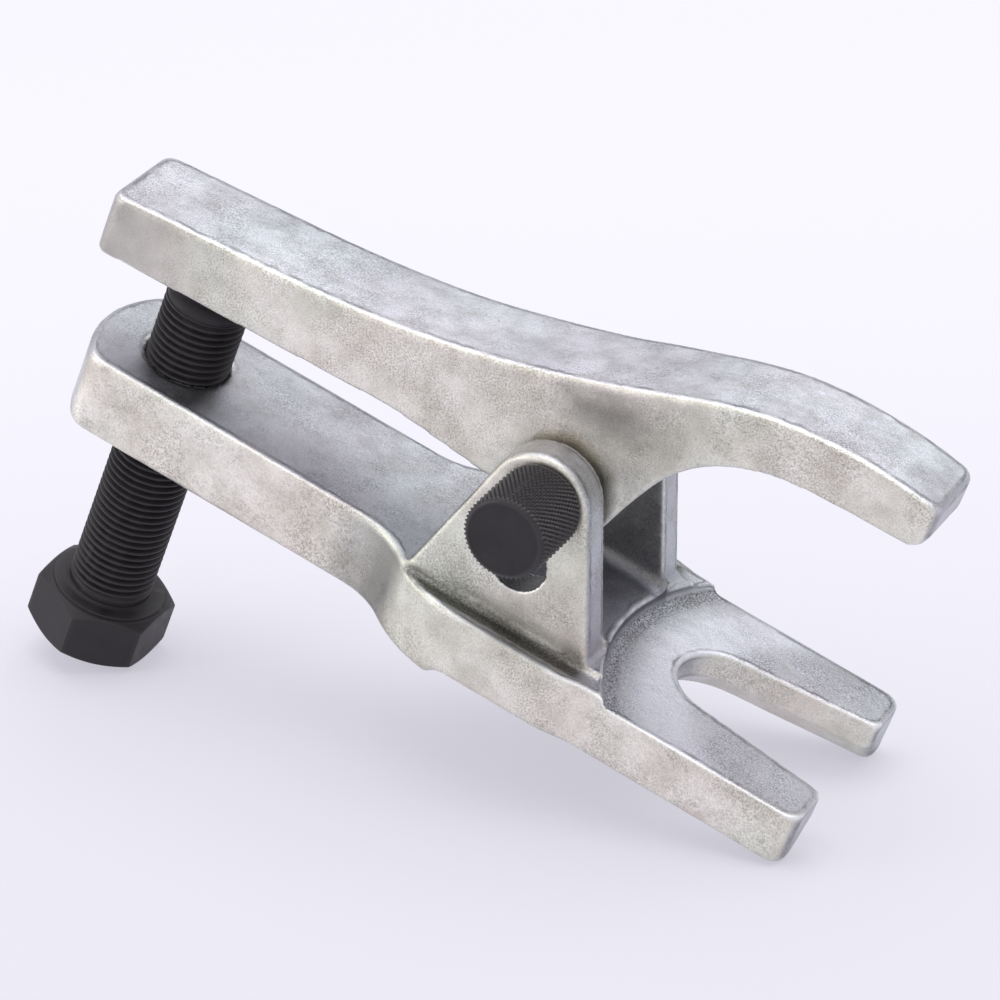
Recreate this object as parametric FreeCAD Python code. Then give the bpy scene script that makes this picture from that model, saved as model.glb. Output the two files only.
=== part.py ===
import FreeCAD, Part
import math
import os

# Ball joint separator: a forged fork body, a pivoting press lever and a forcing screw.
#
# Everything is drawn in a tool frame (millimetres): X runs forward to the fork tips, Y across the
# tool, Z up from the arm's top face, with the origin under the pivot axis. One placement then tips
# the tool onto its fork tips and its screw head, the way it stands on a bench.

V = FreeCAD.Vector

# Fork body
ARM_HALF_WIDTH = 15.0
ARM_DEPTH = 16.0
ARM_END_X = -95.4
ARM_END_RADIUS = 24.0
ARM_CORNER_RADIUS = 5.0
SHOULDER_START_X = -31.0
SHOULDER_INNER_RADIUS = 14.0
SHOULDER_OUTER_RADIUS = 26.3
BODY_HALF_WIDTH = 26.0
BODY_END_X = 14.0
JOG_LENGTH = 9.5
FORK_HALF_WIDTH = 24.7
FORK_TIP_X = 65.6
FORK_TOP_Z = -2.65
FORK_BOTTOM_Z = -14.0
FORK_TIP_RADIUS = 3.2
FORK_MOUTH_RADIUS = 2.2
UNDERSIDE_STEP_X = -7.0
SPOT_FACE_X = 63.0
SPOT_FACE_RADIUS = 45.2
SPOT_FOOT_RADIUS = 1.5
RIM_RADIUS = 1.0
BOTTOM_RADIUS = 1.8
FORK_LOW_RADIUS = 1.5
LIP_RADIUS = 0.5
BORE_CHAMFER = 0.4
LEDGE_Z = -1.0
LEDGE_RIM_RADIUS = 0.8

# Fork slot
SLOT_ROOT_X = 30.3
SLOT_ROOT_RADIUS = 9.0
SLOT_MOUTH_HALF_WIDTH = 12.9
SLOT_LAND_Z = -8.0
SLOT_BEVEL = 5.5

# Cheeks
CHEEK_INNER_Y = 12.8
CHEEK_OUTER_Y = 20.1
CHEEK_TOP = (-0.8, 24.2)
CHEEK_TOP_RADIUS = 10.0
CHEEK_BASE_Z = -2.0
CHEEK_REAR_X = -19.6
CHEEK_FRONT_X = 19.5
CHEEK_EDGE_RADIUS = 1.2
CHEEK_INNER_EDGE_RADIUS = 0.3
CHEEK_FOOT_RADIUS = 1.2
INNER_FOOT_RADIUS = 2.4

# Pivot
PIVOT_Z = 25.5
LOWER_HOLE_Z = 11.6
PIN_RADIUS = 5.5
PIN_CLEARANCE = 0.05
PIN_END_Y = 27.0
KNOB_RADIUS = 8.0
KNOB_LENGTH = 15.4
SIDE_GAP = 0.3

# Press lever
LEVER_HALF_WIDTH = 10.8
LEVER_TIP_HALF_WIDTH = 9.0
LEVER_REAR_X = -98.3
LEVER_TIP_X = 62.7
LEVER_TAPER_X = 5.0
LEVER_CORNER_RADIUS = 2.8
LEVER_CHIN_RADIUS = 3.0
LEVER_SEAT_START = (-98.3, 17.8)
LEVER_SEAT_END = (-36.0, 20.2)
BOSS_RADIUS = 10.6
LEVER_EDGE_RADIUS = 1.2
LEVER_TOP = [(-98.3, 30.1), (-67.5, 32.7), (-36.0, 36.8), (-12.0, 43.2), (12.0, 52.1),
             (26.0, 56.9), (40.0, 58.9), (62.7, 57.2)]
LEVER_BELLY = [(-25.0, 19.3), (-15.0, 18.2), (-7.0, 17.6)]
LEVER_HOOK = [(10.0, 22.0), (13.4, 30.4), (18.4, 38.7), (26.3, 44.8), (34.0, 47.3), (43.0, 48.2)]
LEVER_PAD_Z = 48.4

# Forcing screw
SCREW_X = -77.6
SCREW_RADIUS = 8.0
THREAD_PITCH = 1.5
THREAD_DEPTH = 0.92
THREAD_START_Z = -50.5
THREAD_TURNS = 42
SCREW_END_RADIUS = 7.8
SCREW_END_Z = 15.4
HEAD_TOP_Z = -54.0
HEAD_HEIGHT = 11.2
HEAD_ACROSS_FLATS = 23.5
HEAD_RIM_RADIUS = 11.4
WASHER_FACE_RADIUS = 11.0
BALL_RADIUS = 5.0
BALL_GAP = 0.45

# Detent in the free end of the pin
DETENT_Y = 23.3
DETENT_BALL_RADIUS = 2.5
DETENT_STAND_OUT = 1.2
DETENT_FLOOR = -4.0
SPRING_RADIUS = 1.85
SPRING_WIRE_RADIUS = 0.3
SPRING_TURNS = 4.0


def bench_tilt():
    """Angle that brings the fork tips and the rim of the screw head onto one level."""
    rim_x = SCREW_X + HEAD_RIM_RADIUS
    rim_z = HEAD_TOP_Z - HEAD_HEIGHT
    run = FORK_TIP_X - FORK_LOW_RADIUS - rim_x
    rise = FORK_BOTTOM_Z + FORK_LOW_RADIUS - rim_z
    return math.atan2(rise, run) - math.asin(FORK_LOW_RADIUS / math.hypot(run, rise))


def prism(wire, low, high):
    face = Part.Face(wire)
    face.translate(V(0, 0, low))
    return face.extrude(V(0, 0, high - low))


def xz_prism(wire, half_width):
    face = Part.Face(wire)
    face.translate(V(0, -half_width, 0))
    return face.extrude(V(0, 2 * half_width, 0))


def cross_pin(x, z, radius, y_from, y_to):
    return Part.makeCylinder(radius, y_to - y_from, V(x, y_from, z), V(0, 1, 0))


def line(a, b):
    return Part.makeLine(V(*a), V(*b))


def arc(a, middle, b):
    return Part.Arc(V(*a), V(*middle), V(*b)).toShape()


def mirrored(edges):
    return [edge.mirror(V(0, 0, 0), V(0, 1, 0)) for edge in edges]


def closed(edges):
    return Part.Wire(Part.__sortEdges__(edges))


def s_bend(start, end, first_radius, second_radius, inward):
    """Two tangent arcs that shift a straight side from one half width to another."""
    run = end[0] - start[0]
    shift = abs(end[1] - start[1])
    angle = 2 * math.atan2(shift, run)
    sign = -1 if inward else 1
    total = run / math.sin(angle)
    r1 = total * first_radius / (first_radius + second_radius)
    r2 = total - r1
    mid = (start[0] + r1 * math.sin(angle), start[1] + sign * r1 * (1 - math.cos(angle)), 0)
    m1 = (start[0] + r1 * math.sin(angle / 2), start[1] + sign * r1 * (1 - math.cos(angle / 2)), 0)
    m2 = (end[0] - r2 * math.sin(angle / 2), end[1] - sign * r2 * (1 - math.cos(angle / 2)), 0)
    return [arc((start[0], start[1], 0), m1, mid), arc(mid, m2, (end[0], end[1], 0))]


def body_outline():
    total = SHOULDER_INNER_RADIUS + SHOULDER_OUTER_RADIUS
    angle = math.acos(1 - (BODY_HALF_WIDTH - ARM_HALF_WIDTH) / total)
    shoulder_end_x = SHOULDER_START_X + total * math.sin(angle)
    arm_x = ARM_END_X + ARM_END_RADIUS - math.sqrt(ARM_END_RADIUS ** 2 - ARM_HALF_WIDTH ** 2)
    jog_end_x = BODY_END_X + JOG_LENGTH
    half = [line((arm_x, ARM_HALF_WIDTH, 0), (SHOULDER_START_X, ARM_HALF_WIDTH, 0))]
    half += s_bend((SHOULDER_START_X, ARM_HALF_WIDTH), (shoulder_end_x, BODY_HALF_WIDTH),
                   SHOULDER_INNER_RADIUS, SHOULDER_OUTER_RADIUS, False)
    half.append(line((shoulder_end_x, BODY_HALF_WIDTH, 0), (BODY_END_X, BODY_HALF_WIDTH, 0)))
    half += s_bend((BODY_END_X, BODY_HALF_WIDTH), (jog_end_x, FORK_HALF_WIDTH), 1, 1, True)
    half.append(line((jog_end_x, FORK_HALF_WIDTH, 0), (FORK_TIP_X, FORK_HALF_WIDTH, 0)))
    rear = arc((arm_x, -ARM_HALF_WIDTH, 0), (ARM_END_X, 0, 0), (arm_x, ARM_HALF_WIDTH, 0))
    front = line((FORK_TIP_X, -FORK_HALF_WIDTH, 0), (FORK_TIP_X, FORK_HALF_WIDTH, 0))
    return closed(half + mirrored(half) + [rear, front])


def slot_wire(offset, z):
    radius = SLOT_ROOT_RADIUS + offset
    centre_x = SLOT_ROOT_X + SLOT_ROOT_RADIUS
    end_x = FORK_TIP_X + 6
    half = SLOT_MOUTH_HALF_WIDTH + offset + 0.8
    reach = math.hypot(end_x - centre_x, half)
    lean = math.acos(radius / reach) + math.atan2(half, end_x - centre_x)
    tangent = (centre_x + radius * math.cos(lean), radius * math.sin(lean))
    a = (tangent[0], tangent[1], z)
    b = (tangent[0], -tangent[1], z)
    root = arc(a, (centre_x - radius, 0, z), b)
    return Part.Wire([root, line(b, (end_x, -half, z)), line((end_x, -half, z), (end_x, half, z)),
                      line((end_x, half, z), a)])


def fork_slot():
    land = prism(slot_wire(0, 0), SLOT_LAND_Z - 0.01, 1)
    foot = FORK_BOTTOM_Z - 1
    offset = SLOT_BEVEL * (SLOT_LAND_Z - foot) / (SLOT_LAND_Z - FORK_BOTTOM_Z)
    bevel = Part.makeLoft([slot_wire(0, SLOT_LAND_Z), slot_wire(offset, foot)], True, True)
    return land.fuse(bevel).removeSplitter()


def tangent_point(x, z, side):
    """Where the line from (x, z) touches the cheek's top arc."""
    dx = CHEEK_TOP[0] - x
    dz = CHEEK_TOP[1] - z
    reach = math.hypot(dx, dz)
    along = math.sqrt(reach ** 2 - CHEEK_TOP_RADIUS ** 2)
    heading = math.atan2(dz, dx) + side * math.asin(CHEEK_TOP_RADIUS / reach)
    return x + along * math.cos(heading), z + along * math.sin(heading)


def cheek_profile():
    rear = tangent_point(CHEEK_REAR_X, CHEEK_BASE_Z, 1)
    front = tangent_point(CHEEK_FRONT_X, CHEEK_BASE_Z, -1)
    a = (CHEEK_REAR_X, 0, CHEEK_BASE_Z)
    b = (rear[0], 0, rear[1])
    c = (front[0], 0, front[1])
    d = (CHEEK_FRONT_X, 0, CHEEK_BASE_Z)
    top = arc(b, (CHEEK_TOP[0], 0, CHEEK_TOP[1] + CHEEK_TOP_RADIUS), c)
    return Part.Wire([line(a, b), top, line(c, d), line(d, a)])


def cheek(side):
    face = Part.Face(cheek_profile())
    face.translate(V(0, side * CHEEK_INNER_Y, 0))
    blank = face.extrude(V(0, side * (CHEEK_OUTER_Y - CHEEK_INNER_Y), 0))
    edges = [e for e in blank.Edges if e.BoundBox.ZMax > 5 and e.BoundBox.YLength < 0.01]
    outer = [e for e in edges if abs(e.BoundBox.YMin) > CHEEK_OUTER_Y - 1]
    inner = [e for e in edges if abs(e.BoundBox.YMin) < CHEEK_INNER_Y + 1]
    return blank.makeFillet(CHEEK_EDGE_RADIUS, outer).makeFillet(CHEEK_INNER_EDGE_RADIUS, inner)


def cove(face_y, outward, z, r):
    """Concave strip in the corner between a cheek's face at face_y and the level z beside it."""
    short = r * (1 - math.sqrt(0.5))
    start = CHEEK_REAR_X + 1
    sunk = z - 0.5
    y = face_y - outward * 0.3
    tip = face_y + outward * r
    corner = (start, y, sunk)
    top = (start, face_y, z + r)
    middle = (start, face_y + outward * short, z + short)
    edges = [line(corner, (start, y, z + r)), line((start, y, z + r), top),
             arc(top, middle, (start, tip, z)), line((start, tip, z), (start, tip, sunk)),
             line((start, tip, sunk), corner)]
    return Part.Face(Part.Wire(edges)).extrude(V(CHEEK_FRONT_X - CHEEK_REAR_X - 1, 0, 0))


def cheek_coves(side, outline):
    """Coves on both faces of a cheek, trimmed to the body's outline and to the spot face."""
    outer = cove(side * CHEEK_OUTER_Y, side, LEDGE_Z, CHEEK_FOOT_RADIUS)
    inner = cove(side * CHEEK_INNER_Y, -side, 0, INNER_FOOT_RADIUS)
    return [c.common(prism(outline, -5, 10)).cut(spot_face()) for c in (outer, inner)]


def underside_relief():
    r = 3.0
    x = UNDERSIDE_STEP_X
    z = FORK_BOTTOM_Z
    corner = arc((x, 0, z - r), (x + r * (1 - math.sqrt(0.5)), 0, z - r * (1 - math.sqrt(0.5))),
                 (x + r, 0, z))
    far = FORK_TIP_X + 5
    edges = [corner, line((x + r, 0, z), (far, 0, z)), line((far, 0, z), (far, 0, z - r)),
             line((far, 0, z - r), (x, 0, z - r))]
    return xz_prism(Part.Wire(edges), 40)


def flat_edges(shape, z, x_from):
    """Edges of a shape that lie in the level z and start beyond x_from."""
    found = []
    for edge in shape.Edges:
        box = edge.BoundBox
        if abs(box.ZMin - z) < 0.02 and abs(box.ZMax - z) < 0.02 and box.XMin > x_from:
            found.append(edge)
    return found


def along_cheek(edge):
    """True for the edges of the straight wall that stands under a cheek's outer face."""
    return abs(abs(edge.CenterOfMass.y) - CHEEK_OUTER_Y) < 0.01 and edge.BoundBox.YLength < 0.01


def body_blank(outline):
    """The forging's plan shape with rounded corners and rims."""
    body = prism(outline, -ARM_DEPTH, 0)
    uprights = [e for e in body.Edges if e.BoundBox.ZLength > 10]
    body = body.makeFillet(ARM_CORNER_RADIUS, [e for e in uprights if e.BoundBox.XMax < -85])
    tips = [e for e in body.Edges if e.BoundBox.ZLength > 10 and e.BoundBox.XMin > 65]
    body = body.makeFillet(FORK_TIP_RADIUS, tips)
    body = body.makeFillet(BOTTOM_RADIUS, flat_edges(body, -ARM_DEPTH, -100))
    for side in (-1, 1):
        body = body.cut(ledge_cutter(side))
    ledge_rim = [e for e in flat_edges(body, LEDGE_Z, -100) if not along_cheek(e)]
    body = body.makeFillet(LEDGE_RIM_RADIUS, ledge_rim)
    arm_rim = [e for e in flat_edges(body, 0, -100) if not along_cheek(e)]
    return body.makeFillet(RIM_RADIUS, arm_rim)


def ledge_cutter(side):
    """Block that lowers the ledge outside a cheek below the arm's top face."""
    corner = V(-50, min(side * CHEEK_OUTER_Y, side * 50), LEDGE_Z)
    return Part.makeBox(150, 50 - CHEEK_OUTER_Y, 5, corner)


def spot_face():
    """Round cutter that lowers the fork's top and leaves the curved step behind it."""
    cutter = Part.makeCylinder(SPOT_FACE_RADIUS, 10, V(SPOT_FACE_X, 0, FORK_TOP_Z))
    return cutter.makeFillet(SPOT_FOOT_RADIUS, flat_edges(cutter, FORK_TOP_Z, 0))


def screw_bore():
    r = SCREW_RADIUS + PIN_CLEARANCE
    c = BORE_CHAMFER
    return revolved([(r + c, -ARM_DEPTH - 0.01), (r, -ARM_DEPTH + c), (r, -c), (r + c, 0.01)],
                    SCREW_X)


def slot_mouth(shape):
    """Corner edges where the slot's two walls meet the end faces of the fork tips."""
    ends = [e for e in shape.Edges if e.BoundBox.XMin > FORK_TIP_X - 0.01]
    return [e for e in ends if e.BoundBox.ZLength > 3 and abs(e.CenterOfMass.y) < FORK_HALF_WIDTH - 5]


def fork_body():
    outline = body_outline()
    body = body_blank(outline).cut(spot_face())
    body = body.cut(underside_relief())
    body = body.cut(fork_slot())
    body = body.makeFillet(FORK_MOUTH_RADIUS, slot_mouth(body))
    body = body.makeFillet(FORK_LOW_RADIUS, flat_edges(body, FORK_BOTTOM_Z, -5))
    lip = [e for e in flat_edges(body, 0, 16) if e.BoundBox.YLength > 30]
    body = body.makeFillet(LIP_RADIUS, lip)
    for side in (-1, 1):
        body = body.fuse([cheek(side)] + cheek_coves(side, outline))
    body = body.removeSplitter()
    body = body.cut(screw_bore())
    for z in (PIVOT_Z, LOWER_HOLE_Z):
        body = body.cut(cross_pin(0, z, PIN_RADIUS + PIN_CLEARANCE, -30, 30))
    return body


def revolved(points, x):
    """Solid of revolution about the vertical axis at x, from (radius, height) points."""
    corners = [V(x, 0, points[0][1])] + [V(x + r, 0, z) for r, z in points]
    corners += [V(x, 0, points[-1][1]), V(x, 0, points[0][1])]
    return Part.Face(Part.makePolygon(corners)).revolve(V(x, 0, 0), V(0, 0, 1), 360)


def lever_profile():
    top = Part.BSplineCurve()
    top.interpolate([V(x, 0, z) for x, z in LEVER_TOP])
    seat = (LEVER_SEAT_END[0], 0, LEVER_SEAT_END[1])
    swell = Part.BSplineCurve()
    swell.interpolate([V(*seat)] + [V(x, 0, z) for x, z in LEVER_BELLY])
    hook = Part.BSplineCurve()
    hook.interpolate([V(x, 0, z) for x, z in LEVER_HOOK])
    back = (LEVER_REAR_X, 0, LEVER_TOP[0][1])
    heel = (LEVER_REAR_X, 0, LEVER_SEAT_START[1])
    belly = (LEVER_BELLY[-1][0], 0, LEVER_BELLY[-1][1])
    root = (LEVER_HOOK[0][0], 0, LEVER_HOOK[0][1])
    lip = (LEVER_HOOK[-1][0], 0, LEVER_HOOK[-1][1])
    r = LEVER_CHIN_RADIUS
    short = r * (1 - math.sqrt(0.5))
    pad = (LEVER_TIP_X - r, 0, LEVER_PAD_Z)
    chin = (LEVER_TIP_X, 0, LEVER_PAD_Z + r)
    nose = (LEVER_TIP_X, 0, LEVER_TOP[-1][1])
    return closed([top.toShape(), line(back, heel), line(heel, seat), swell.toShape(),
                   line(belly, root), hook.toShape(), line(lip, pad),
                   arc(pad, (LEVER_TIP_X - short, 0, LEVER_PAD_Z + short), chin), line(chin, nose)])


def lever_plan():
    """Block with the lever's plan shape: parallel as far as the pivot, then tapering."""
    half = [(LEVER_REAR_X, LEVER_HALF_WIDTH), (LEVER_TAPER_X, LEVER_HALF_WIDTH),
            (LEVER_TIP_X, LEVER_TIP_HALF_WIDTH)]
    corners = [V(x, y, 0) for x, y in half] + [V(x, -y, 0) for x, y in reversed(half)]
    block = prism(Part.makePolygon(corners + corners[:1]), -5, 80)
    ends = [e for e in block.Edges if e.BoundBox.ZLength > 50 and abs(e.BoundBox.XMin) > 50]
    return block.makeFillet(LEVER_CORNER_RADIUS, ends)


def press_lever():
    bar = xz_prism(lever_profile(), 20).common(lever_plan())
    boss = cross_pin(0, PIVOT_Z, BOSS_RADIUS, -LEVER_HALF_WIDTH, LEVER_HALF_WIDTH)
    bar = bar.fuse(boss).removeSplitter()
    edges = [e for e in bar.Edges if e.BoundBox.YMin > 5 or e.BoundBox.YMax < -5]
    long = [e for e in edges if e.Length > 60 and e.BoundBox.YLength < 3]
    bar = bar.makeFillet(LEVER_EDGE_RADIUS, long)
    return bar.cut(cross_pin(0, PIVOT_Z, PIN_RADIUS + PIN_CLEARANCE, -20, 20))


def screw_blank():
    crest = SCREW_RADIUS
    root = SCREW_RADIUS - THREAD_DEPTH
    points = [(crest, HEAD_TOP_Z - 1), (crest, THREAD_START_Z - THREAD_PITCH / 2)]
    for turn in range(THREAD_TURNS):
        z = THREAD_START_Z + turn * THREAD_PITCH
        points.append((root, z))
        points.append((root, z + THREAD_PITCH / 8))
        points.append((crest, z + THREAD_PITCH * 0.55))
        points.append((crest, z + THREAD_PITCH * 0.58))
    top = THREAD_START_Z + THREAD_TURNS * THREAD_PITCH
    points.append((SCREW_END_RADIUS, top))
    points.append((SCREW_END_RADIUS, SCREW_END_Z - 1.2))
    points.append((SCREW_END_RADIUS - 1.2, SCREW_END_Z))
    return revolved(points, SCREW_X)


def hex_head():
    corner = HEAD_ACROSS_FLATS / math.sqrt(3)
    angles = [math.radians(30 + 60 * i) for i in range(6)]
    points = [V(SCREW_X + corner * math.cos(a), corner * math.sin(a), 0) for a in angles]
    low = HEAD_TOP_Z - HEAD_HEIGHT
    high = HEAD_TOP_Z - 0.5
    head = prism(Part.makePolygon(points + points[:1]), low, high)
    wide = corner + 0.5
    rise = (wide - HEAD_RIM_RADIUS) * math.tan(math.radians(30))
    cone = revolved([(HEAD_RIM_RADIUS, low), (wide, low + rise), (wide, high - rise),
                     (HEAD_RIM_RADIUS, high)], SCREW_X)
    return head.common(cone)


def ball_centre_z():
    slope = (LEVER_SEAT_END[1] - LEVER_SEAT_START[1]) / (LEVER_SEAT_END[0] - LEVER_SEAT_START[0])
    seat = LEVER_SEAT_START[1] + slope * (SCREW_X - LEVER_SEAT_START[0])
    return seat - (BALL_RADIUS + BALL_GAP) * math.sqrt(1 + slope ** 2)


def forcing_screw():
    collar = Part.makeCylinder(WASHER_FACE_RADIUS, 0.5, V(SCREW_X, 0, HEAD_TOP_Z - 0.5))
    screw = screw_blank().fuse([hex_head(), collar]).removeSplitter()
    pocket = Part.makeSphere(BALL_RADIUS + PIN_CLEARANCE, V(SCREW_X, 0, ball_centre_z()))
    return screw.cut(pocket)


def thrust_ball():
    return Part.makeSphere(BALL_RADIUS, V(SCREW_X, 0, ball_centre_z()))


def along_pin(points):
    """Solid of revolution about the pin's axis, from (radius, y) points."""
    corners = [V(0, points[0][1], PIVOT_Z)] + [V(0, y, PIVOT_Z + r) for r, y in points]
    corners += [V(0, points[-1][1], PIVOT_Z), V(0, points[0][1], PIVOT_Z)]
    return Part.Face(Part.makePolygon(corners)).revolve(V(0, 0, PIVOT_Z), V(0, 1, 0), 360)


def upright(shape):
    """Turn a detent shape about the pin so that it stands vertical on the bench."""
    shape.rotate(V(0, 0, PIVOT_Z), V(0, 1, 0), -math.degrees(bench_tilt()))
    return shape


def detent_ball_z():
    return PIVOT_Z + PIN_RADIUS + DETENT_STAND_OUT - DETENT_BALL_RADIUS


def pivot_pin():
    seat = -CHEEK_OUTER_Y - SIDE_GAP
    front = seat - KNOB_LENGTH
    pin = along_pin([(KNOB_RADIUS - 0.5, front), (KNOB_RADIUS, front + 0.5),
                     (KNOB_RADIUS, seat - 0.5), (KNOB_RADIUS - 0.5, seat), (PIN_RADIUS, seat),
                     (PIN_RADIUS, PIN_END_Y - 1), (PIN_RADIUS - 1, PIN_END_Y)])
    hole = Part.makeCylinder(DETENT_BALL_RADIUS + PIN_CLEARANCE, 20,
                             V(0, DETENT_Y, PIVOT_Z + DETENT_FLOOR))
    return pin.cut(upright(hole))


def detent_ball():
    return upright(Part.makeSphere(DETENT_BALL_RADIUS, V(0, DETENT_Y, detent_ball_z())))


def detent_spring():
    low = PIVOT_Z + DETENT_FLOOR + SPRING_WIRE_RADIUS + 0.05
    high = detent_ball_z() - DETENT_BALL_RADIUS - SPRING_WIRE_RADIUS + 0.55
    pitch = (high - low) / SPRING_TURNS
    helix = Part.makeHelix(pitch, high - low, SPRING_RADIUS)
    section = Part.Wire(Part.makeCircle(SPRING_WIRE_RADIUS, V(SPRING_RADIUS, 0, 0), V(0, 1, 0)))
    coil = Part.Wire(helix).makePipeShell([section], True, True)
    coil.translate(V(0, DETENT_Y, low))
    return upright(coil)


def main():
    os.makedirs("parts", exist_ok=True)
    shapes = {
        "fork_body": fork_body(),
        "press_lever": press_lever(),
        "forcing_screw": forcing_screw(),
        "thrust_ball": thrust_ball(),
        "pivot_pin": pivot_pin(),
        "detent_ball": detent_ball(),
        "detent_spring": detent_spring(),
    }
    for shape in shapes.values():
        shape.rotate(V(0, 0, 0), V(0, 1, 0), math.degrees(bench_tilt()))
    box = Part.makeCompound(list(shapes.values())).optimalBoundingBox(False, False)
    shift = V(-(box.XMin + box.XMax) / 2, -(box.YMin + box.YMax) / 2, -box.ZMin)
    for name, shape in shapes.items():
        shape.translate(shift)
        shape.exportStep("parts/" + name + ".step")
        print(name, shape.isValid(), round(shape.Volume, 1))
    print("tilt", math.degrees(bench_tilt()), "shift", shift, "box", box)


main()
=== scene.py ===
import math

import bmesh
import bpy
import numpy as np
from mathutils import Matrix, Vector, noise

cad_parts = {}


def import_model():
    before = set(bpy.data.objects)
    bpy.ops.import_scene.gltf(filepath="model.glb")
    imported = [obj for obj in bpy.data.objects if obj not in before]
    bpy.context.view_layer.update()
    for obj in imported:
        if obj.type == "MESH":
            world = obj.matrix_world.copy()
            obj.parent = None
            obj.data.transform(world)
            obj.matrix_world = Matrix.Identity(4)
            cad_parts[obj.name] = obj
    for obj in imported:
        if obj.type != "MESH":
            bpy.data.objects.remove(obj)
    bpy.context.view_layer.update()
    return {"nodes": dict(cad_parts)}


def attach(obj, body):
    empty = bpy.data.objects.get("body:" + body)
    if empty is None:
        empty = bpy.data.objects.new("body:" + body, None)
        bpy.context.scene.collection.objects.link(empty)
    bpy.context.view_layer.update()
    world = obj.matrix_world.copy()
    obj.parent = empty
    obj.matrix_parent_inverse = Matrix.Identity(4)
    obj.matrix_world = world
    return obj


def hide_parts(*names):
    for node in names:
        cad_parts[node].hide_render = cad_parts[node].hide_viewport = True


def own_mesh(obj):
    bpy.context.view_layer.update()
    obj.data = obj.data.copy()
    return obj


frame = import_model()
nodes = frame["nodes"]

# The tool frame: x forward, z away from the arm, origin under the pivot, in millimetres
TILT = math.radians(21.409456435)
SHIFT = (13.967105832, 4.4, 36.560522205)
SCREW_X = -77.6
SCREW_BORE = 8.05
PIVOT_Z = 25.5
LOWER_HOLE_Z = 11.6
PIN_BORE = 5.55
CHEEK_OUTER_Y = 20.1
CHEEK_INNER_Y = 12.8
SPOT_FACE_X = 63.0
SPOT_FACE_RADIUS = 45.2
LEVER_HALF_WIDTH = 10.8
FORGING_VOXEL = 0.5
SMOOTHING_PASSES = 5
WELD_DISTANCE = 0.002
SHARP_ANGLE = 32
EDGE_GAIN = 6.0

SCREW_RADIUS = 8.0
THREAD_PITCH = 1.5
THREAD_DEPTH = 0.85
THREAD_LOW_Z = -52.4
THREAD_HIGH_Z = 13.2
ROWS_PER_TURN = 12
SCREW_COLUMNS = 144
SCREW_END_RADIUS = 7.8
SCREW_END_Z = 15.4
HEAD_TOP_Z = -54.0
HEAD_HEIGHT = 11.2
HEAD_FLAT = 11.7
HEAD_RIM = 11.3
WASHER_RADIUS = 10.9
BALL_POCKET = 5.05
BALL_Z = 13.143

KNOB_RADIUS = 7.98
KNOB_LENGTH = 15.38
KNOB_BACK_Y = -20.41
KNURL_COUNT = 54
KNURL_DEPTH = 0.55
KNURL_ANGLE = 32.0
COLUMNS_PER_TOOTH = 6


def tool_to_row(points):
    """Millimetres in the tool frame to metres in the row frame."""
    p = np.asarray(points, float).reshape(-1, 3)
    c, s = math.cos(TILT), math.sin(TILT)
    x = c * p[:, 0] + s * p[:, 2] + SHIFT[0]
    z = -s * p[:, 0] + c * p[:, 2] + SHIFT[2]
    return np.stack([x, p[:, 1] + SHIFT[1], z], 1) / 1000.0


def row_to_tool(points):
    """Metres in the row frame to millimetres in the tool frame."""
    p = np.asarray(points, float).reshape(-1, 3) * 1000.0 - np.array(SHIFT)
    c, s = math.cos(TILT), math.sin(TILT)
    return np.stack([c * p[:, 0] - s * p[:, 2], p[:, 1], s * p[:, 0] + c * p[:, 2]], 1)


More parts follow.
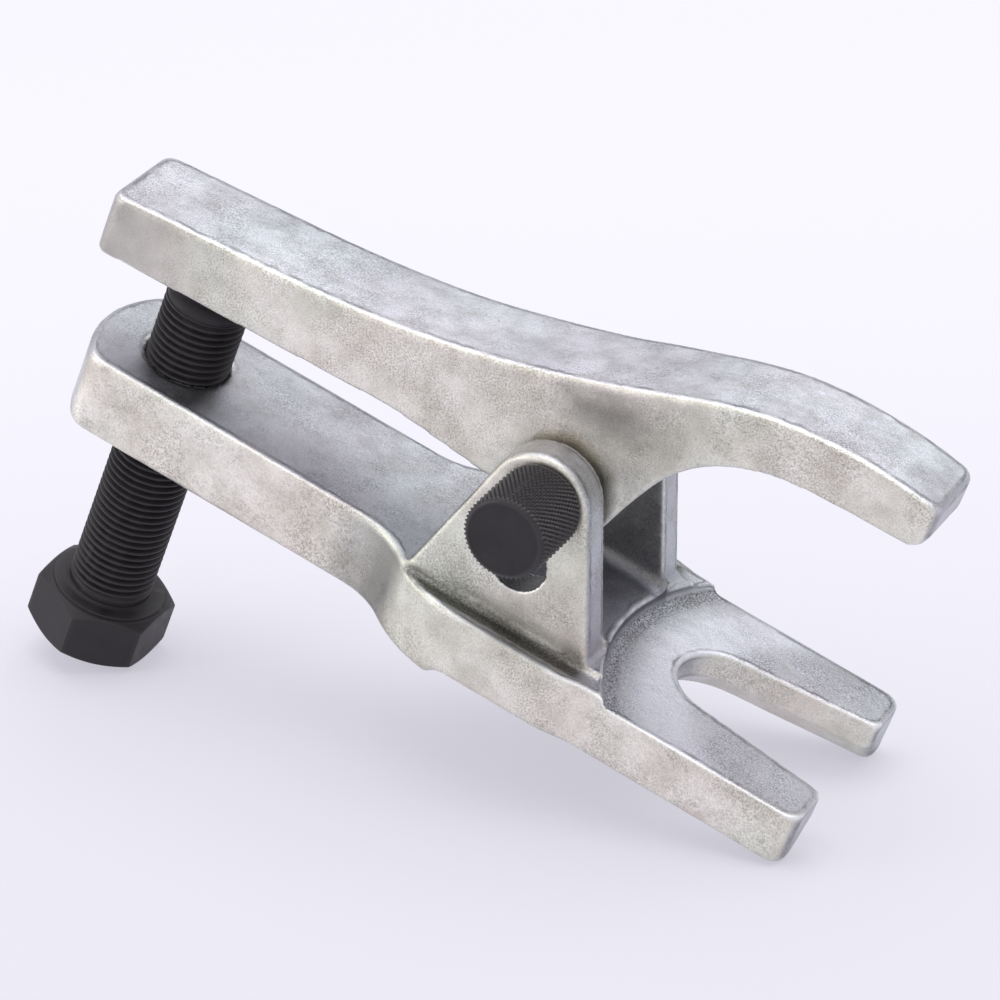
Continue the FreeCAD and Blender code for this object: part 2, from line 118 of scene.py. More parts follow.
# ---------------------------------------------------------------- materials
class Nodes:
    """Short calls for wiring a material's nodes."""

    def __init__(self, name):
        self.material = bpy.data.materials.new(name)
        self.material.use_nodes = True
        self.tree = self.material.node_tree
        self.tree.nodes.clear()
        self.out = self.tree.nodes.new("ShaderNodeOutputMaterial")
        self.shader = self.tree.nodes.new("ShaderNodeBsdfPrincipled")
        self.tree.links.new(self.shader.outputs[0], self.out.inputs[0])
        coords = self.tree.nodes.new("ShaderNodeTexCoord")
        self.coords = coords.outputs["Object"]
        self.normals = coords.outputs["Normal"]

    def set(self, socket, value):
        """A constant goes on the socket, another node's output is linked to it."""
        target = self.shader.inputs[socket]
        if hasattr(value, "is_output"):
            self.tree.links.new(value, target)
        else:
            target.default_value = value

    def noise(self, scale, detail, rough):
        node = self.tree.nodes.new("ShaderNodeTexNoise")
        node.inputs["Scale"].default_value = scale
        node.inputs["Detail"].default_value = detail
        node.inputs["Roughness"].default_value = rough
        self.tree.links.new(self.coords, node.inputs["Vector"])
        return node.outputs["Fac"]

    def occlusion(self, distance):
        """How open the surface is to its surroundings, so that corners and recesses can be given painted
        shade.
        """
        node = self.tree.nodes.new("ShaderNodeAmbientOcclusion")
        node.samples = 8
        node.only_local = True
        node.inputs["Distance"].default_value = distance
        return node.outputs["AO"]

    def stored(self, name):
        """A number stored on the piece's vertices."""
        node = self.tree.nodes.new("ShaderNodeAttribute")
        node.attribute_name = name
        return node.outputs["Fac"]

    def pointiness(self):
        return self.tree.nodes.new("ShaderNodeNewGeometry").outputs["Pointiness"]

    def tool_coordinates(self):
        """The three tool-frame coordinates in millimetres."""
        node = self.tree.nodes.new("ShaderNodeMapping")
        node.vector_type = "TEXTURE"
        node.inputs["Location"].default_value = [v / 1000 for v in SHIFT]
        node.inputs["Rotation"].default_value = (0, TILT, 0)
        node.inputs["Scale"].default_value = (0.001, 0.001, 0.001)
        self.tree.links.new(self.coords, node.inputs["Vector"])
        split = self.tree.nodes.new("ShaderNodeSeparateXYZ")
        self.tree.links.new(node.outputs[0], split.inputs[0])
        return split.outputs

    def math(self, operation, a, b=0.0):
        node = self.tree.nodes.new("ShaderNodeMath")
        node.operation = operation
        for socket, value in zip(node.inputs, (a, b)):
            if hasattr(value, "is_output"):
                self.tree.links.new(value, socket)
            else:
                socket.default_value = value
        return node.outputs[0]

    def rise(self, value, low, high):
        """0 below low, 1 above high and a smooth rise between."""
        node = self.tree.nodes.new("ShaderNodeMapRange")
        node.interpolation_type = "SMOOTHSTEP"
        node.inputs["From Min"].default_value = low
        node.inputs["From Max"].default_value = high
        self.tree.links.new(value, node.inputs["Value"])
        return node.outputs[0]

    def band(self, value, low, high, soft):
        """1 between low and high, 0 outside them."""
        entered = self.rise(value, low - soft, low + soft)
        left = self.rise(value, high - soft, high + soft)
        return self.math("SUBTRACT", entered, left)

    def facing_sideways(self):
        """1 on faces that look along Y, 0 on those that look up, down or along X."""
        split = self.tree.nodes.new("ShaderNodeSeparateXYZ")
        self.tree.links.new(self.normals, split.inputs[0])
        return self.math("ABSOLUTE", split.outputs["Y"])

    def ramp(self, value, stops):
        node = self.tree.nodes.new("ShaderNodeValToRGB")
        ramp = node.color_ramp
        while len(ramp.elements) < len(stops):
            ramp.elements.new(0.5)
        for element, (place, colour) in zip(ramp.elements, stops):
            element.position = place
            element.color = (*colour, 1.0)
        self.tree.links.new(value, node.inputs[0])
        return node.outputs[0]

    def grey(self, value, stops):
        return self.ramp(value, [(place, (v, v, v)) for place, v in stops])

    def mix(self, factor, a, b, blend="MIX"):
        node = self.tree.nodes.new("ShaderNodeMix")
        node.data_type = "RGBA"
        node.blend_type = blend
        for index, value in ((0, factor), (6, a), (7, b)):
            if hasattr(value, "is_output"):
                self.tree.links.new(value, node.inputs[index])
            else:
                node.inputs[index].default_value = value if index == 0 else (*value, 1.0)
        return node.outputs[2]

    def bump(self, height, strength, distance, under=None):
        node = self.tree.nodes.new("ShaderNodeBump")
        node.inputs["Strength"].default_value = strength
        node.inputs["Distance"].default_value = distance
        self.tree.links.new(height, node.inputs["Height"])
        if under is not None:
            self.tree.links.new(under, node.inputs["Normal"])
        return node.outputs[0]


def zinc(name, tone, own_marks_and_shading):
    """Zinc-plated forging: fine grain and uneven tone, sides tinted warm and tops cool as painted
    reflection, painted shade in corners, painted highlights on edges with a painted dark line beside them.
    """
    n = Nodes(name)
    broad = n.noise(45, 3, 0.5)
    cloud = n.noise(170, 5, 0.60)
    grain = n.noise(2700, 4, 0.75)
    fine = n.noise(5200, 2, 0.6)
    hue = n.noise(28, 2, 0.5)
    patches = n.rise(n.noise(75, 5, 0.65), 0.44, 0.62)
    flank = n.rise(n.facing_sideways(), 0.3, 0.85)
    # Painted reflection: faces looking along Y are tinted warm and the others cool, as the surroundings
    # reflect in them.
    cool = n.ramp(broad, [(0.35, tinted(tone, 0.61, 0.61, 0.65)), (0.65, tinted(tone, 0.74, 0.74, 0.78))])
    warm = n.ramp(broad, [(0.35, (0.80, 0.765, 0.67)), (0.65, (0.92, 0.895, 0.815))])
    base = n.mix(flank, cool, warm)
    tint = n.ramp(hue, [(0.36, (0.955, 1.0, 0.98)), (0.50, (1, 1, 1)), (0.64, (1.0, 0.975, 0.985))])
    base = n.mix(1.0, base, tint, "MULTIPLY")
    mottle = n.ramp(cloud, [(0.32, (0.78, 0.765, 0.73)), (0.60, (1.04, 1.04, 1.04))])
    base = n.mix(0.85, base, mottle, "MULTIPLY")
    speck = n.grey(grain, [(0.33, 0.25), (0.60, 1.10)])
    amount = n.math("ADD", n.math("MULTIPLY", patches, 0.45), 0.30)
    base = n.mix(1.0, base, n.mix(amount, (1, 1, 1), speck), "MULTIPLY")
    # Painted shade: the colour darkens towards near black where the ambient occlusion finds the surface
    # closed in.
    hidden = n.occlusion(0.010)
    painted_corner_shade = n.ramp(hidden, [(0.25, (0.06, 0.054, 0.045)), (0.48, (0.34, 0.325, 0.30)), (0.74, (1, 1, 1))])
    base = n.mix(1.0, base, painted_corner_shade, "MULTIPLY")
    base = own_marks_and_shading(n, base, cloud, grain, flank)
    # Painted shade: a dark line just beside each edge highlight, on faces that do not look along Y, broken
    # up by the cloud noise.
    line = n.math("MULTIPLY", n.band(n.stored("edge"), 0.07, 0.24, 0.05), n.math("SUBTRACT", 1.0, flank))
    line = n.math("MULTIPLY", line, n.math("ADD", n.math("MULTIPLY", n.rise(cloud, 0.38, 0.60), 0.5), 0.15))
    base = n.mix(line, base, (0.10, 0.10, 0.105))
    # Painted highlight: edges that stand out are lightened nearly to white.
    bright = n.math("MULTIPLY", n.rise(n.stored("edge"), 0.32, 0.75), 0.95)
    base = n.mix(bright, base, (0.97, 0.97, 0.95))
    n.set("Base Color", base)
    n.set("Metallic", 1.0)
    n.set("Roughness", n.grey(cloud, [(0.3, 0.27), (0.7, 0.42)]))
    soft = n.bump(cloud, 0.4, 0.0004)
    rough = n.bump(grain, 0.6, 0.00015, soft)
    n.set("Normal", n.bump(fine, 0.4, 0.00005, rough))
    return n.material


def body_marks_and_shading(n, base, cloud, grain, flank):
    """Dirt and painted shade in the cheek grooves, painted shade between the cheeks, in the lower pin hole
    and on the shoulders, pits by the step and a painted highlight on the machined face by the step.
    """
    # Painted shade: the platform and inner faces between the cheeks are darkened to a cool grey.
    base = n.mix(between_mask(n), base, (0.15, 0.15, 0.19))
    # Near-black colour speckled by the grain: painted shade in the lower pin hole, dirt with painted shade
    # in the cheek grooves.
    dirt_and_shade = n.ramp(grain, [(0.42, (0.022, 0.020, 0.016)), (0.62, (0.16, 0.155, 0.135))])
    base = n.mix(recess_mask(n, cloud), base, dirt_and_shade)
    x, y, z = n.tool_coordinates()
    # Painted shade on the lower flanks of the S-bend shoulders, darkened to a dark grey.
    bend = n.math("MULTIPLY", n.band(x, -34.0, -20.0, 3.5), n.rise(n.math("ABSOLUTE", y), 13.0, 16.5))
    below = n.math("SUBTRACT", 1.0, n.rise(z, -2.0, -0.4))
    base = n.mix(n.math("MULTIPLY", n.math("MULTIPLY", bend, below), 0.76), base, (0.20, 0.195, 0.19))
    ahead = n.math("SUBTRACT", x, SPOT_FACE_X)
    reach = n.math("SQRT", n.math("ADD", n.math("MULTIPLY", ahead, ahead), n.math("MULTIPLY", y, y)))
    inset = n.math("SUBTRACT", SPOT_FACE_RADIUS, reach)
    on_top = n.band(z, -3.4, -2.1, 0.2)
    on_top = n.math("MULTIPLY", on_top, n.math("SUBTRACT", 1.0, flank))
    foot = n.math("MULTIPLY", n.band(inset, -0.5, 3.6, 1.6), on_top)
    scuffed = n.math("MULTIPLY", n.rise(cloud, 0.40, 0.62), n.math("MULTIPLY", on_top, 0.55))
    foot = n.math("MAXIMUM", foot, scuffed)
    pits = n.grey(grain, [(0.42, 0.08), (0.60, 1.0)])
    base = n.mix(n.math("MULTIPLY", foot, 0.75), base, n.mix(1.0, base, pits, "MULTIPLY"))
    # Painted highlight: a pale patch on the top face inside the spot face, standing in for a reflected
    # light.
    painted_spot_highlight = n.math("MULTIPLY", n.band(inset, 6.0, 17.0, 3.5), on_top)
    return n.mix(n.math("MULTIPLY", painted_spot_highlight, 0.42), base, (0.90, 0.90, 0.98))


def lever_tone_and_shading(n, base, cloud, grain, flank):
    """Painted shade in the hollow above the pivot, and the darker rear of the flanks."""
    x, y, z = n.tool_coordinates()
    along = n.math("DIVIDE", n.math("SUBTRACT", x, 2.0), 8.5)
    up = n.math("DIVIDE", n.math("SUBTRACT", z, 40.0), 4.6)
    reach = n.math("SQRT", n.math("ADD", n.math("MULTIPLY", along, along), n.math("MULTIPLY", up, up)))
    hollow = n.math("SUBTRACT", 1.0, n.rise(reach, 0.2, 1.15))
    # Painted shade on the flanks in the hollow above the pivot.
    base = n.mix(n.math("MULTIPLY", n.math("MULTIPLY", hollow, flank), 0.5), base, (0.27, 0.26, 0.24))
    rear = n.math("SUBTRACT", 1.0, n.rise(x, -98.0, -66.0))
    base = n.mix(n.math("MULTIPLY", n.math("MULTIPLY", rear, flank), 0.62), base, (0.36, 0.355, 0.34))
    return n.mix(n.math("MULTIPLY", n.rise(x, 61.4, 62.4), 0.65), base, (0.40, 0.40, 0.42))


def recess_mask(n, cloud):
    """Dirt and painted shade in the groove at the foot of each cheek, painted shade in the lower pin hole.
    """
    x, y, z = n.tool_coordinates()
    across = n.math("ABSOLUTE", y)
    dx = n.math("MULTIPLY", x, x)
    up = n.math("SUBTRACT", z, LOWER_HOLE_Z)
    dz = n.math("MULTIPLY", up, up)
    reach = n.math("SQRT", n.math("ADD", dx, dz))
    hole = n.math("SUBTRACT", 1.0, n.rise(reach, PIN_BORE - 0.1, PIN_BORE + 0.25))
    ragged = n.math("MULTIPLY", cloud, 2.4)
    foot = n.math("ADD", z, ragged)
    low = n.math("SUBTRACT", 1.0, n.rise(foot, 0.7, 2.2))
    groove = n.math("MULTIPLY", n.band(across, CHEEK_OUTER_Y - 0.3, CHEEK_OUTER_Y + 3.6, 0.5), low)
    groove = n.math("MULTIPLY", groove, n.band(x, -19.0, 19.0, 1.5))
    above = n.rise(z, -1.9, -1.5)
    groove = n.math("MULTIPLY", n.math("MULTIPLY", groove, above), 0.8)
    return n.math("MAXIMUM", hole, groove)


def between_mask(n):
    """Painted shade on the platform and inner faces between the cheeks."""
    x, y, z = n.tool_coordinates()
    inside = n.band(n.math("ABSOLUTE", y), -5, CHEEK_INNER_Y + 0.35, 0.25)
    along = n.band(x, -19.0, 21.0, 1.0)
    height = n.band(z, -2.2, 30.0, 0.4)
    return n.math("MULTIPLY", n.math("MULTIPLY", inside, along), n.math("MULTIPLY", height, 0.62))


def black_oxide(name, rough, edge_wear_and_highlight):
    """Oiled black oxide: nearly black, a little uneven, with rubbed edges lightened also as painted
    highlights, and painted shade in the hollows.
    """
    n = Nodes(name)
    cloud = n.noise(260, 4, 0.6)
    grain = n.noise(2400, 3, 0.6)
    base = n.ramp(cloud, [(0.35, (0.0165, 0.0130, 0.0150)), (0.7, (0.0250, 0.0200, 0.0230))])
    # Rubbed edges, lightened also as painted highlights on thread crests and the knob's rims.
    edge = n.grey(n.pointiness(), [(0.51, 0.0), (0.57, edge_wear_and_highlight)])
    base = n.mix(edge, base, (0.085, 0.08, 0.082))
    # Painted shade: the hollows between threads and knurl teeth are darkened nearly to black.
    base = n.mix(n.grey(n.pointiness(), [(0.43, 0.95), (0.495, 0.0)]), base, (0.003, 0.003, 0.003))
    n.set("Base Color", base)
    n.set("Metallic", 0.0)
    n.set("Specular IOR Level", 0.35)
    n.set("Roughness", n.grey(cloud, [(0.3, rough - 0.06), (0.7, rough + 0.10)]))
    n.set("Normal", n.bump(grain, 0.25, 0.00006))
    return n.material


def polished(name):
    n = Nodes(name)
    cloud = n.noise(600, 3, 0.6)
    n.set("Base Color", n.ramp(cloud, [(0.3, (0.62, 0.62, 0.63)), (0.7, (0.75, 0.75, 0.76))]))
    n.set("Metallic", 1.0)
    n.set("Roughness", n.grey(cloud, [(0.3, 0.14), (0.7, 0.24)]))
    n.set("Normal", n.bump(cloud, 0.05, 0.00003))
    return n.material


def tinted(tone, r, g, b):
    return (r * tone, g * tone, b * tone)


def paint(obj, material):
    obj.data.materials.clear()
    obj.data.materials.append(material)


# The body's cool tops take 0.80 of the lever's tone: painted shade, keeping them darker than the lever's
# lit tops.
ZINC_BODY = zinc("zinc_forging_body", 0.80, body_marks_and_shading)
ZINC_LEVER = zinc("zinc_forging_lever", 1.0, lever_tone_and_shading)
BLACK = black_oxide("black_oxide_screw", 0.46, 0.35)
BLACK_PIN = black_oxide("black_oxide_pin", 0.38, 0.6)
STEEL = polished("polished_ball")
WIRE = polished("spring_wire")


# ---------------------------------------------------------------- pieces
def mesh_object(name, points, faces):
    """New object from points in tool-frame millimetres."""
    mesh = bpy.data.meshes.new(name)
    mesh.from_pydata([tuple(p) for p in points], [], faces)
    obj = bpy.data.objects.new(name, mesh)
    bpy.context.collection.objects.link(obj)
    return obj


def vertex_array(mesh):
    flat = np.empty(len(mesh.vertices) * 3)
    mesh.vertices.foreach_get("co", flat)
    return flat.reshape(-1, 3)


def normal_array(mesh):
    flat = np.empty(len(mesh.vertices) * 3)
    mesh.vertex_normals.foreach_get("vector", flat)
    return flat.reshape(-1, 3)


def set_vertices(mesh, points):
    mesh.vertices.foreach_set("co", np.asarray(points, float).ravel())
    mesh.update()


def welded_copy(node, name):
    """The node's mesh as a new object in tool-frame millimetres, with its seams closed."""
    mesh = nodes[node].data.copy()
    mesh.name = name
    set_vertices(mesh, row_to_tool(vertex_array(mesh)))
    bm = bmesh.new()
    bm.from_mesh(mesh)
    bmesh.ops.remove_doubles(bm, verts=bm.verts, dist=WELD_DISTANCE)
    bmesh.ops.recalc_face_normals(bm, faces=bm.faces)
    bm.to_mesh(mesh)
    bm.free()
    obj = bpy.data.objects.new(name, mesh)
    bpy.context.collection.objects.link(obj)
    return obj


def baked(obj):
    """Apply the object's modifiers to its mesh."""
    bpy.context.view_layer.update()
    graph = bpy.context.evaluated_depsgraph_get()
    mesh = bpy.data.meshes.new_from_object(obj.evaluated_get(graph))
    obj.modifiers.clear()
    obj.data = mesh
    return mesh


def softened(obj, voxel, passes):
    """Even mesh with rounded edges, as a forging leaves its die."""
    remesh = obj.modifiers.new("remesh", "REMESH")
    remesh.mode = "VOXEL"
    remesh.voxel_size = voxel
    smooth = obj.modifiers.new("smooth", "SMOOTH")
    smooth.factor = 0.5
    smooth.iterations = passes
    return baked(obj)


def open_bore(points, normals, centre, axis, radius):
    """Put the wall of a bore back on its true radius after smoothing."""
    across = [i for i in range(3) if i != axis]
    offset = points[:, across] - np.array(centre)
    distance = np.linalg.norm(offset, axis=1)
    outward = offset / np.maximum(distance, 1e-6)[:, None]
    inward_facing = (normals[:, across] * outward).sum(1) < -0.6
    wall = inward_facing & (distance > radius - 0.7) & (distance < radius + 0.25)
    points[np.ix_(wall, across)] = np.array(centre) + outward[wall] * (radius + 0.02)
    return wall


def uneven(points, scale, seed):
    """Smooth seeded noise from 0 to 1 for each point."""
    shift = Vector((seed * 7.3, seed * 3.1, seed * 5.7))
    return np.array([0.5 + 0.5 * noise.noise(Vector(p) * scale + shift) for p in points])


def store_edges(mesh):
    """Store on each vertex how far it stands out from its neighbours, which the materials use for painted
    highlights on edges and a painted dark line beside them.
    """
    points = vertex_array(mesh)
    normals = normal_array(mesh)
    ends = np.empty(len(mesh.edges) * 2, np.int32)
    mesh.edges.foreach_get("vertices", ends)
    a, b = ends.reshape(-1, 2).T
    count = np.bincount(a, minlength=len(points)) + np.bincount(b, minlength=len(points))

    def neighbour_mean(values):
        total = np.bincount(a, values[b], len(points)) + np.bincount(b, values[a], len(points))
        return total / np.maximum(count, 1)

    around = np.stack([neighbour_mean(points[:, i]) for i in range(3)], 1)
    height = ((points - around) * normals).sum(1) / FORGING_VOXEL
    for _ in range(2):
        height = 0.4 * height + 0.6 * neighbour_mean(height)
    layer = mesh.attributes.new("edge", "FLOAT", "POINT")
    layer.data.foreach_set("value", np.clip(height * EDGE_GAIN, 0, 1).astype(np.float32))


def finish_piece(obj, body, replaced, material, sharp=0):
    mesh = obj.data
    set_vertices(mesh, tool_to_row(vertex_array(mesh)))
    mesh.polygons.foreach_set("use_smooth", [True] * len(mesh.polygons))
    if sharp:
        mesh.set_sharp_from_angle(angle=math.radians(sharp))
    paint(obj, material)
    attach(obj, body)
    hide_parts(replaced)


def forged(node, name, body, material, bores, seed, dents=()):
    obj = welded_copy(node, name)
    mesh = softened(obj, FORGING_VOXEL, SMOOTHING_PASSES)
    points = vertex_array(mesh)
    normals = normal_array(mesh)
    fixed = np.zeros(len(points), bool)
    for centre, axis, radius in bores:
        fixed |= open_bore(points, normals, centre, axis, radius)
    sink = 0.10 * uneven(points, 0.13, seed) + 0.05 * uneven(points, 0.55, seed + 1)
    for centre, reach, depth in dents:
        gap = (points - np.array(centre)) / np.array(reach)
        sink += depth * np.exp(-(gap ** 2).sum(1))
    sink[fixed] = 0
    set_vertices(mesh, points - normals * sink[:, None])
    store_edges(mesh)
    finish_piece(obj, body, node, material)


def ring_faces(rows, columns):
    """Quads joining rows of points that each run once round an axis."""
    faces = []
    for i in range(rows - 1):
        for j in range(columns):
            k = (j + 1) % columns
            faces.append((i * columns + j, i * columns + k, (i + 1) * columns + k,
                          (i + 1) * columns + j))
    return faces


def lathe(name, rows, columns, place):
    """Closed piece from rows of radii: each row is (height, radius at each angle)."""
    angles = np.arange(columns) * 2 * math.pi / columns
    points = []
    for height, radii in rows:
        points += [place(r, a, height) for r, a in zip(np.broadcast_to(radii, columns), angles)]
    faces = ring_faces(len(rows), columns)
    faces.append(tuple(reversed(range(columns))))
    faces.append(tuple(range((len(rows) - 1) * columns, len(rows) * columns)))
    obj = mesh_object(name, points, faces)
    bm = bmesh.new()
    bm.from_mesh(obj.data)
    bmesh.ops.recalc_face_normals(bm, faces=bm.faces)
    bm.to_mesh(obj.data)
    bm.free()
    return obj


def soft_min(values, blend):
    """Smallest of several arrays, with the change between them rounded."""
    values = np.array(values)
    low = values.min(0)
    return low - blend * np.log(np.exp(-(values - low) / blend).sum(0))


def thread_radius(z, angles):
    """Radius of the helical thread at one height, fading out at its ends."""
    turn = (z - THREAD_LOW_Z) / THREAD_PITCH - angles / (2 * math.pi)
    phase = turn - np.floor(turn)
    valley = np.clip(1.15 - 2.6 * np.abs(phase - 0.5), 0, 1)
    valley = valley * valley * (3 - 2 * valley)
    fade = np.clip((z - THREAD_LOW_Z) / 1.2, 0, 1) * np.clip((THREAD_HIGH_Z - z) / 1.2, 0, 1)
    return SCREW_RADIUS - THREAD_DEPTH * valley * fade


def head_radius(z, angles):
    """Hexagon with soft corners, cut by a 30 degree cone at its top and bottom."""
    low = HEAD_TOP_Z - HEAD_HEIGHT
    high = HEAD_TOP_Z - 0.5
    flats = [HEAD_FLAT / np.maximum(np.cos(angles - math.radians(60 * i)), 0.05) for i in range(6)]
    slope = 1 / math.tan(math.radians(30))
    cones = [np.full_like(angles, HEAD_RIM + (z - low) * slope),
             np.full_like(angles, HEAD_RIM + (high - z) * slope)]
    return soft_min(flats + cones, 0.12)


def screw_rows():
    columns = SCREW_COLUMNS
    angles = np.arange(columns) * 2 * math.pi / columns
    low = HEAD_TOP_Z - HEAD_HEIGHT
    rows = [(low + 0.25, 0.5), (low + 0.25, HEAD_RIM - 3.0), (low + 0.02, HEAD_RIM - 2.2),
            (low, HEAD_RIM - 0.6)]
    heights = np.concatenate([np.linspace(0, 1.8, 13), np.linspace(2.1, HEAD_HEIGHT - 2.6, 12),
                              np.linspace(HEAD_HEIGHT - 2.3, HEAD_HEIGHT - 0.5, 13)])
    rows += [(low + h, head_radius(low + h, angles)) for h in heights]
    rows += [(HEAD_TOP_Z - 0.5, WASHER_RADIUS + 0.15), (HEAD_TOP_Z - 0.42, WASHER_RADIUS),
             (HEAD_TOP_Z - 0.08, WASHER_RADIUS - 0.02), (HEAD_TOP_Z, WASHER_RADIUS - 0.12),
             (HEAD_TOP_Z, SCREW_RADIUS + 0.9), (HEAD_TOP_Z + 0.15, SCREW_RADIUS + 0.35),
             (HEAD_TOP_Z + 0.5, SCREW_RADIUS + 0.02)]
    steps = int((THREAD_HIGH_Z - THREAD_LOW_Z) / THREAD_PITCH * ROWS_PER_TURN)
    for z in np.linspace(THREAD_LOW_Z, THREAD_HIGH_Z, steps):
        rows.append((z, thread_radius(z, angles)))
    end = SCREW_END_RADIUS
    rows += [(THREAD_HIGH_Z + 0.15, end), (SCREW_END_Z - 1.2, end), (SCREW_END_Z - 1.05, end - 0.05),
             (SCREW_END_Z - 0.1, end - 1.1), (SCREW_END_Z, end - 1.25)]
    opening = math.sqrt(BALL_POCKET ** 2 - (SCREW_END_Z - BALL_Z) ** 2)
    rows += [(SCREW_END_Z, opening + 0.25), (SCREW_END_Z - 0.2, opening + 0.03)]
    lean = math.acos((SCREW_END_Z - 0.3 - BALL_Z) / BALL_POCKET)
    for a in np.linspace(lean, math.pi - 0.1, 14):
        rows.append((BALL_Z + BALL_POCKET * math.cos(a), BALL_POCKET * math.sin(a)))
    return rows, columns


def forcing_screw():
    rows, columns = screw_rows()
    obj = lathe("threaded_screw", rows, columns,
                lambda r, a, z: (SCREW_X + r * math.cos(a), r * math.sin(a), z))
    finish_piece(obj, "screw", "forcing_screw", BLACK, SHARP_ANGLE)


def zigzag(value):
    """Triangle wave from 0 to 1 and back over each whole number."""
    return 1 - np.abs(2 * (value - np.floor(value)) - 1)


def knurl_radius(along, angles):
    turns = angles / (2 * math.pi) * KNURL_COUNT
    lead = along / (KNOB_RADIUS * 2 * math.pi / KNURL_COUNT) * math.tan(math.radians(KNURL_ANGLE))
    ridges = np.minimum(zigzag(turns + lead), zigzag(turns - lead))
    return KNOB_RADIUS - KNURL_DEPTH * (1 - np.clip(ridges * 1.25, 0, 1))


def knob_rows():
    columns = KNURL_COUNT * COLUMNS_PER_TOOTH
    angles = np.arange(columns) * 2 * math.pi / columns
    front = KNOB_BACK_Y - KNOB_LENGTH
    rows = [(front + 0.12, KNOB_RADIUS - 1.6), (front + 0.11, KNOB_RADIUS - 1.45),
            (front, KNOB_RADIUS - 1.2), (front, KNOB_RADIUS - 1.0),
            (front + 0.10, KNOB_RADIUS - 0.8), (front + 0.45, KNOB_RADIUS - 0.5)]
    for along in np.linspace(0.75, KNOB_LENGTH - 0.75, 108):
        rows.append((front + along, knurl_radius(along, angles)))
    rows += [(KNOB_BACK_Y - 0.4, KNOB_RADIUS - 0.4), (KNOB_BACK_Y - 0.05, KNOB_RADIUS - 0.8),
             (KNOB_BACK_Y, KNOB_RADIUS - 1.2), (KNOB_BACK_Y, 0.4)]
    return rows, columns


def pivot_pin():
    """The knurled knob and, as a second shell behind it, the CAD node's shank with its cross hole."""
    rows, columns = knob_rows()
    obj = lathe("knurled_pin", rows, columns,
                lambda r, a, y: (r * math.cos(a), y, PIVOT_Z + r * math.sin(a)))
    shank = welded_copy("pivot_pin", "shank")
    bm = bmesh.new()
    bm.from_mesh(obj.data)
    shank_bm = bmesh.new()
    shank_bm.from_mesh(shank.data)
    everything = shank_bm.verts[:] + shank_bm.edges[:] + shank_bm.faces[:]
    bmesh.ops.bisect_plane(shank_bm, geom=everything, plane_co=(0, KNOB_BACK_Y - 0.1, 0),
                           plane_no=(0, -1, 0), clear_outer=True)
    rim = [e for e in shank_bm.edges if e.is_boundary]
    bmesh.ops.holes_fill(shank_bm, edges=rim, sides=0)
    inner = [v for v in shank_bm.verts if v.co.y < KNOB_BACK_Y + 0.05]
    loose = [v for v in inner if math.hypot(v.co.x, v.co.z - PIVOT_Z) > PIN_BORE + 0.1]
    bmesh.ops.delete(shank_bm, geom=loose, context="VERTS")
    shank_bm.to_mesh(shank.data)
    bm.from_mesh(shank.data)
    bm.to_mesh(obj.data)
    bm.free()
    shank_bm.free()
    bpy.data.objects.remove(shank)
    finish_piece(obj, "pin", "pivot_pin", BLACK_PIN, SHARP_ANGLE)


def coil_spring():
    """The detent spring, carried on the pin with its own copy of the mesh."""
    obj = welded_copy("detent_spring", "coil_spring")
    finish_piece(obj, "pin", "detent_spring", WIRE)
    points = vertex_array(obj.data)
    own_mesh(obj)


def detail_pieces():
    pin_bore = ((0.0, PIVOT_Z), 1, PIN_BORE)
    lower_bore = ((0.0, LOWER_HOLE_Z), 1, PIN_BORE)
    screw_bore = ((SCREW_X, 0.0), 2, SCREW_BORE)
    hollows = [((2.5, side * LEVER_HALF_WIDTH, 40.5), (8.5, 4.0, 5.0), 0.9) for side in (-1, 1)]
    forged("fork_body", "forged_fork", "fork", ZINC_BODY, [pin_bore, lower_bore, screw_bore], 3)
    forged("press_lever", "forged_lever", "lever", ZINC_LEVER, [pin_bore], 9, hollows)
    forcing_screw()
    pivot_pin()
    coil_spring()


detail_pieces()
paint(nodes["thrust_ball"], STEEL)
paint(nodes["detent_ball"], STEEL)


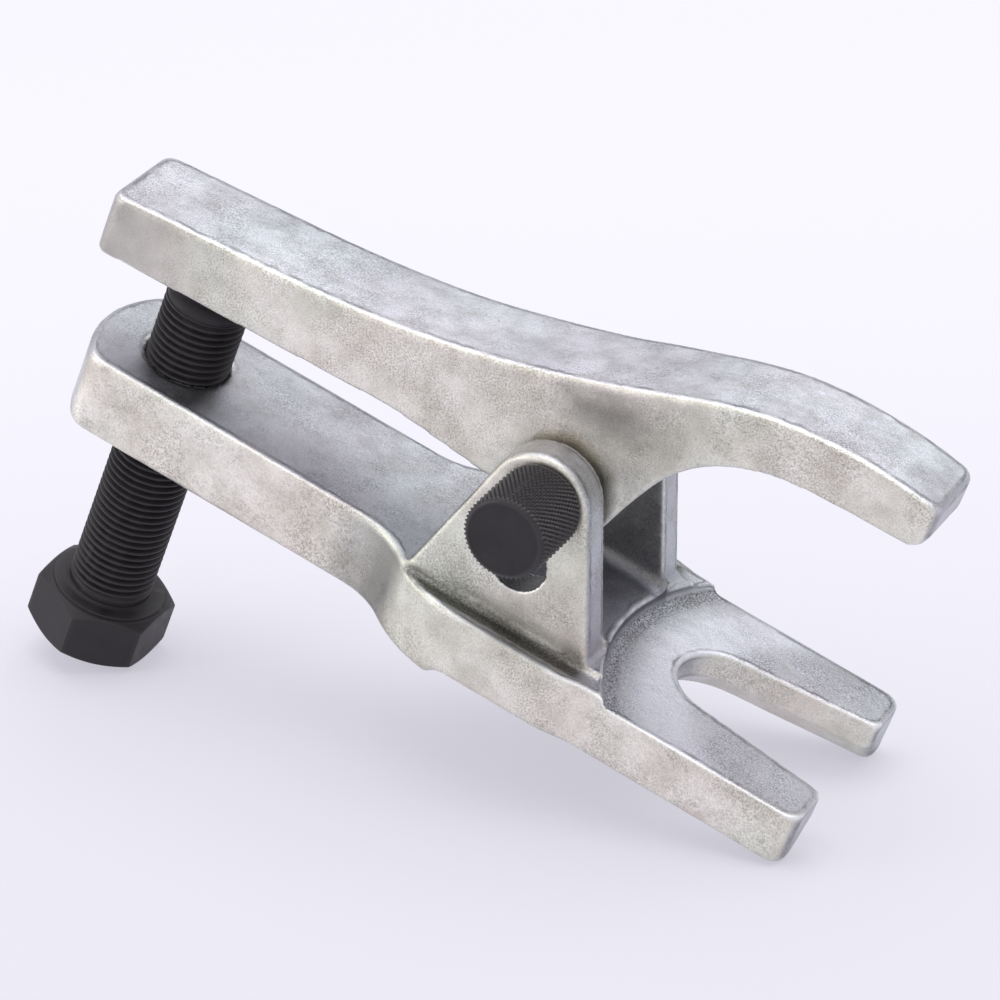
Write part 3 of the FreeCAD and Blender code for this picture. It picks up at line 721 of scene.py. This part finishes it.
# ---------------------------------------------------------------- stage
def floor():
    mesh = bpy.data.meshes.new("floor")
    size = 6.0
    mesh.from_pydata([(-size, -size, 0), (size, -size, 0), (size, size, 0), (-size, size, 0)], [],
                     [(0, 1, 2, 3)])
    obj = bpy.data.objects.new("floor", mesh)
    bpy.context.collection.objects.link(obj)
    obj.location.z = -0.0003
    n = Nodes("floor_with_painted_glow")
    n.set("Base Color", (0.32, 0.317, 0.335, 1.0))
    split = n.tree.nodes.new("ShaderNodeSeparateXYZ")
    n.tree.links.new(n.coords, split.inputs[0])
    # Painted light: the floor glows, brighter towards the back, which softens the shadows and stands in for
    # light falling off across it.
    away = n.math("ADD", n.math("MULTIPLY", split.outputs["X"], -0.44),
                  n.math("MULTIPLY", split.outputs["Y"], 0.90))
    near, far = (0.405, 0.40, 0.455), (0.53, 0.52, 0.575)
    n.set("Emission Color", n.mix(n.rise(away, -0.20, 0.32), near, far))
    n.set("Emission Strength", 1.0)
    n.set("Roughness", 0.9)
    n.set("Specular IOR Level", 0.1)
    paint(obj, n.material)


def area_light(name, place, target, size, power, colour=(1, 1, 1)):
    data = bpy.data.lights.new(name, "AREA")
    data.shape = "RECTANGLE"
    data.size, data.size_y = size
    data.energy = power
    data.color = colour
    obj = bpy.data.objects.new(name, data)
    obj.location = place
    aim = Vector(target) - Vector(place)
    obj.rotation_euler = aim.to_track_quat("-Z", "Y").to_euler()
    bpy.context.collection.objects.link(obj)


def world():
    sky = bpy.data.worlds.new("studio")
    bpy.context.scene.world = sky
    sky.use_nodes = True
    tree = sky.node_tree
    background = tree.nodes["Background"]
    background.inputs[0].default_value = (0.935, 0.935, 1.0, 1.0)
    background.inputs[1].default_value = 0.80


def camera():
    data = bpy.data.cameras.new("camera")
    data.lens = 187.339
    data.sensor_width = 36.0
    data.clip_start = 0.05
    data.clip_end = 50
    obj = bpy.data.objects.new("camera", data)
    obj.location = (0.38057, -0.7511, 0.46111)
    obj.rotation_euler = (1.115654, 0.019196, 0.45189)
    bpy.context.collection.objects.link(obj)
    bpy.context.scene.camera = obj


floor()
world()
camera()
area_light("top_box", (0.1, 0.15, 1.1), (0, 0, 0.04), (1.3, 1.3), 9.5)
area_light("left_box", (-1.0, -0.7, 0.5), (0, 0, 0.04), (0.8, 0.8), 3.6, (1.0, 0.97, 0.93))
bpy.context.scene.view_settings.view_transform = "Standard"
